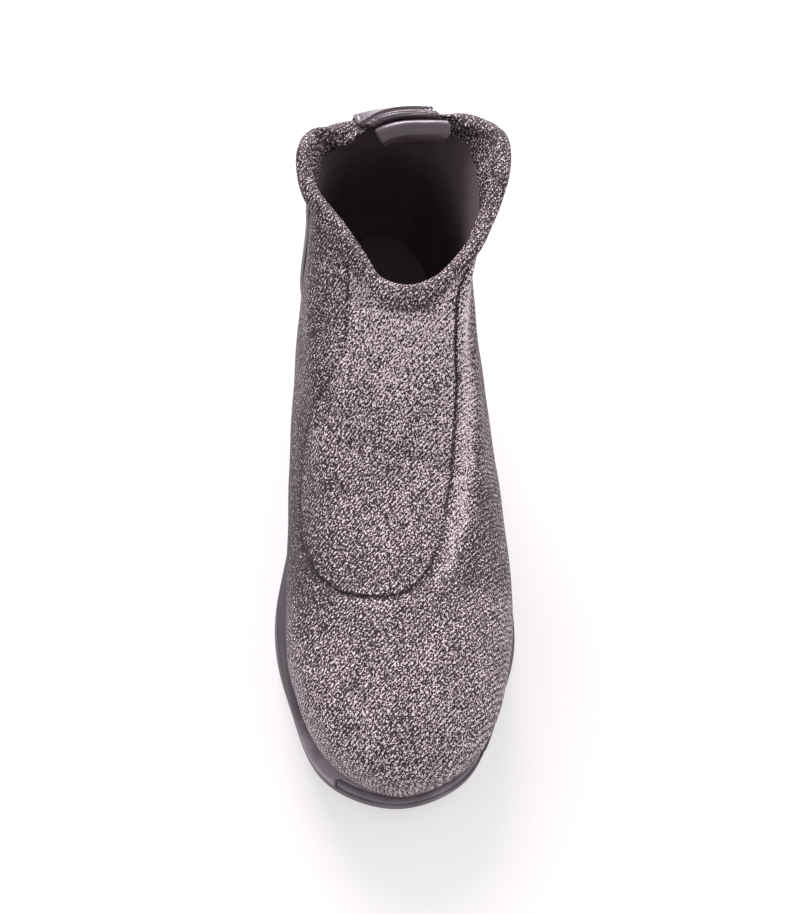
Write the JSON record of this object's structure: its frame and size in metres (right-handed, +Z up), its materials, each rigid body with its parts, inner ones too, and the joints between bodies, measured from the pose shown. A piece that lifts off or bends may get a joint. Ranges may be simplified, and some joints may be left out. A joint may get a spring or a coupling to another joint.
{
  "type": "wedge ankle boot",
  "caption": "Slip-on ankle boot for the left foot: stretch-knit upper with instep panel and rolled collar, leather heel counter and back strip, smooth rubber wedge sole.",
  "frame": {"origin": "middle of the boot's outline on the floor it stands on", "axes": "+Z up, toe towards -Y, medial side towards -X, lateral side towards +X"},
  "size_m": [0.0984, 0.26, 0.1435],
  "materials": {
    "tread": "matt",
    "sole": "satin",
    "lining": "matt",
    "knit": "metallic-flecked knit",
    "leather": "smooth"
  },
  "bodies": {
    "root": {"outsole": "tread", "wedge_midsole": "sole", "insole": "lining", "upper_knit": "knit", "instep_panel": "knit", "heel_counter": "leather", "back_strip": "leather", "collar_tab": "leather"}
  },
  "joints": []
}
